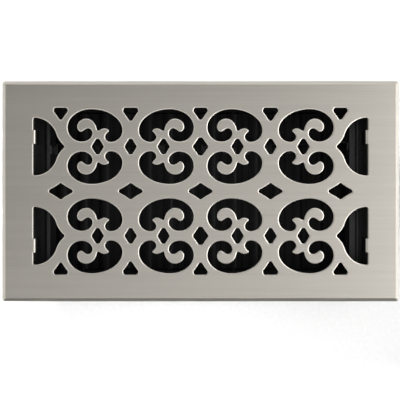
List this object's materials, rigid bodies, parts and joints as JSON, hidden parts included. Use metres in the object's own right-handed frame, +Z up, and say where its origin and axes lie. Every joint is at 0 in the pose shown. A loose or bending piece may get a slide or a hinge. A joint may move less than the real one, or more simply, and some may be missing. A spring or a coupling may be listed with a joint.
{
  "type": "floor register",
  "caption": "Floor register: a flat pierced scroll grille with bevelled border over a sheet-metal damper box with linked pivoting louvres and a thumb lever.",
  "frame": {"origin": "centre of the faceplate's rim where it meets the floor", "axes": "+X along the faceplate's length towards the thumb lever, +Y across it to the rear row, +Z up out of the floor"},
  "size_m": [0.343, 0.1906, 0.0595],
  "materials": {
    "brushed_nickel": "satin nickel, brushed along the length",
    "black_enamel": "semi-gloss black paint"
  },
  "bodies": {
    "frame": {"faceplate": "brushed_nickel", "box_side_front": "black_enamel", "box_side_rear": "black_enamel", "box_end_left": "black_enamel", "box_end_right": "black_enamel", "end_stop_left": "black_enamel", "end_stop_right": "black_enamel"},
    "louvre_01": {"louvre_01": "black_enamel"},
    "louvre_02": {"louvre_02": "black_enamel"},
    "louvre_03": {"louvre_03": "black_enamel"},
    "louvre_04": {"louvre_04": "black_enamel"},
    "louvre_05": {"louvre_05": "black_enamel"},
    "louvre_06": {"louvre_06": "black_enamel"},
    "louvre_07": {"louvre_07": "black_enamel"},
    "louvre_08": {"louvre_08": "black_enamel"},
    "louvre_09": {"louvre_09": "black_enamel"},
    "louvre_10": {"louvre_10": "black_enamel"},
    "louvre_11": {"louvre_11": "black_enamel"},
    "louvre_12": {"louvre_12": "black_enamel"},
    "louvre_13": {"louvre_13": "black_enamel"},
    "louvre_14": {"louvre_14": "black_enamel"},
    "tie_bar": {"tie_bar": "black_enamel"}
  },
  "joints": [
    {"name": "louvre_01_pivot", "type": "hinge", "parent": "frame", "child": "louvre_01", "pos_m": [-0.1287, 0, -0.0415], "axis": [0, 1, 0], "range_deg": [0, 86.5]},
    {"name": "louvre_02_pivot", "type": "hinge", "parent": "frame", "child": "louvre_02", "pos_m": [-0.1089, 0, -0.0415], "axis": [0, 1, 0], "range_deg": [0, 86.5]},
    {"name": "louvre_03_pivot", "type": "hinge", "parent": "frame", "child": "louvre_03", "pos_m": [-0.0891, 0, -0.0415], "axis": [0, 1, 0], "range_deg": [0, 86.5]},
    {"name": "louvre_04_pivot", "type": "hinge", "parent": "frame", "child": "louvre_04", "pos_m": [-0.0693, 0, -0.0415], "axis": [0, 1, 0], "range_deg": [0, 86.5]},
    {"name": "louvre_05_pivot", "type": "hinge", "parent": "frame", "child": "louvre_05", "pos_m": [-0.0495, 0, -0.0415], "axis": [0, 1, 0], "range_deg": [0, 86.5]},
    {"name": "louvre_06_pivot", "type": "hinge", "parent": "frame", "child": "louvre_06", "pos_m": [-0.0297, 0, -0.0415], "axis": [0, 1, 0], "range_deg": [0, 86.5]},
    {"name": "louvre_07_pivot", "type": "hinge", "parent": "frame", "child": "louvre_07", "pos_m": [-0.0099, 0, -0.0415], "axis": [0, 1, 0], "range_deg": [0, 86.5]},
    {"name": "louvre_08_pivot", "type": "hinge", "parent": "frame", "child": "louvre_08", "pos_m": [0.0099, 0, -0.0415], "axis": [0, 1, 0], "range_deg": [0, 86.5]},
    {"name": "louvre_09_pivot", "type": "hinge", "parent": "frame", "child": "louvre_09", "pos_m": [0.0297, 0, -0.0415], "axis": [0, 1, 0], "range_deg": [0, 86.5]},
    {"name": "louvre_10_pivot", "type": "hinge", "parent": "frame", "child": "louvre_10", "pos_m": [0.0495, 0, -0.0415], "axis": [0, 1, 0], "range_deg": [0, 86.5]},
    {"name": "louvre_11_pivot", "type": "hinge", "parent": "frame", "child": "louvre_11", "pos_m": [0.0693, 0, -0.0415], "axis": [0, 1, 0], "range_deg": [0, 86.5]},
    {"name": "louvre_12_pivot", "type": "hinge", "parent": "frame", "child": "louvre_12", "pos_m": [0.0891, 0, -0.0415], "axis": [0, 1, 0], "range_deg": [0, 86.5]},
    {"name": "louvre_13_pivot", "type": "hinge", "parent": "frame", "child": "louvre_13", "pos_m": [0.1089, 0, -0.0415], "axis": [0, 1, 0], "range_deg": [0, 86.5]},
    {"name": "louvre_14_pivot", "type": "hinge", "parent": "frame", "child": "louvre_14", "pos_m": [0.1287, 0, -0.0415], "axis": [0, 1, 0], "range_deg": [0, 86.5]},
    {"name": "tie_bar_pin", "type": "hinge", "parent": "louvre_14", "child": "tie_bar", "pos_m": [0.12253, 0.043, -0.03495], "axis": [0, 1, 0], "range_deg": [-86.5, 0]}
  ],
  "couplings": [
    {"joint": "louvre_01_pivot", "follows": "louvre_14_pivot", "ratio": 1},
    {"joint": "louvre_02_pivot", "follows": "louvre_14_pivot", "ratio": 1},
    {"joint": "louvre_03_pivot", "follows": "louvre_14_pivot", "ratio": 1},
    {"joint": "louvre_04_pivot", "follows": "louvre_14_pivot", "ratio": 1},
    {"joint": "louvre_05_pivot", "follows": "louvre_14_pivot", "ratio": 1},
    {"joint": "louvre_06_pivot", "follows": "louvre_14_pivot", "ratio": 1},
    {"joint": "louvre_07_pivot", "follows": "louvre_14_pivot", "ratio": 1},
    {"joint": "louvre_08_pivot", "follows": "louvre_14_pivot", "ratio": 1},
    {"joint": "louvre_09_pivot", "follows": "louvre_14_pivot", "ratio": 1},
    {"joint": "louvre_10_pivot", "follows": "louvre_14_pivot", "ratio": 1},
    {"joint": "louvre_11_pivot", "follows": "louvre_14_pivot", "ratio": 1},
    {"joint": "louvre_12_pivot", "follows": "louvre_14_pivot", "ratio": 1},
    {"joint": "louvre_13_pivot", "follows": "louvre_14_pivot", "ratio": 1},
    {"joint": "tie_bar_pin", "follows": "louvre_14_pivot", "ratio": -1}
  ]
}
